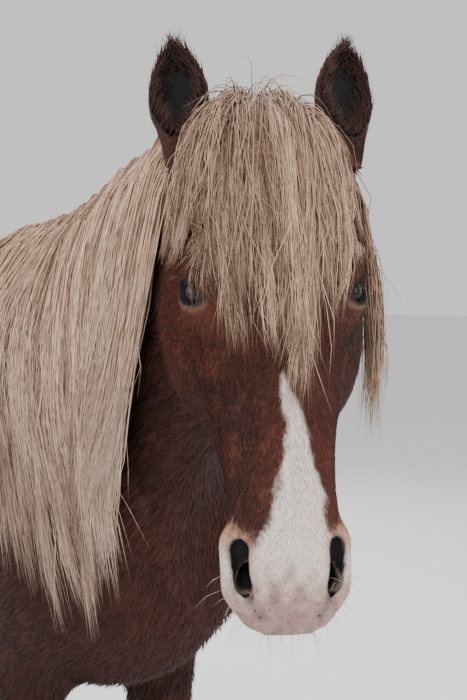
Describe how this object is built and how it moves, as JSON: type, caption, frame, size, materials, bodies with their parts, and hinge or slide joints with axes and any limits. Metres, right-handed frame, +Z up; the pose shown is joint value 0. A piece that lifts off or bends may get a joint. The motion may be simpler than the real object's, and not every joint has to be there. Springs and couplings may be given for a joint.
{
  "type": "standing icelandic horse",
  "caption": "Life-size still model of a grown Icelandic horse, standing square with its neck bent and its head turned to its right, in a long winter coat.",
  "frame": {"origin": "on the floor, below the middle of the whole model's box", "axes": "+Z up, the trunk runs along Y with the breast towards -Y, and the horse's left side is towards +X"},
  "size_m": [0.5376, 1.957, 1.5825],
  "materials": {
    "coat": "short, dense, dark chestnut winter fur with a white face stripe and a pink muzzle",
    "long_hair": "long flaxen hair in loose strands",
    "hoof": "dark horn with fine rings and grooves",
    "eye": "wet, glossy dark brown eye with a blue-grey sheen"
  },
  "bodies": {
    "root": {"head": "coat", "ear_right": "coat", "ear_left": "coat", "eye_right": "eye", "eye_left": "eye", "neck": "coat", "torso": "coat", "tail": "long_hair", "leg_fore_right_upper": "coat", "leg_fore_right_lower": "coat", "hoof_fore_right": "hoof", "leg_fore_left_upper": "coat", "leg_fore_left_lower": "coat", "hoof_fore_left": "hoof", "leg_hind_right_upper": "coat", "leg_hind_right_lower": "coat", "hoof_hind_right": "hoof", "leg_hind_left_upper": "coat", "leg_hind_left_lower": "coat", "hoof_hind_left": "hoof"}
  },
  "joints": []
}
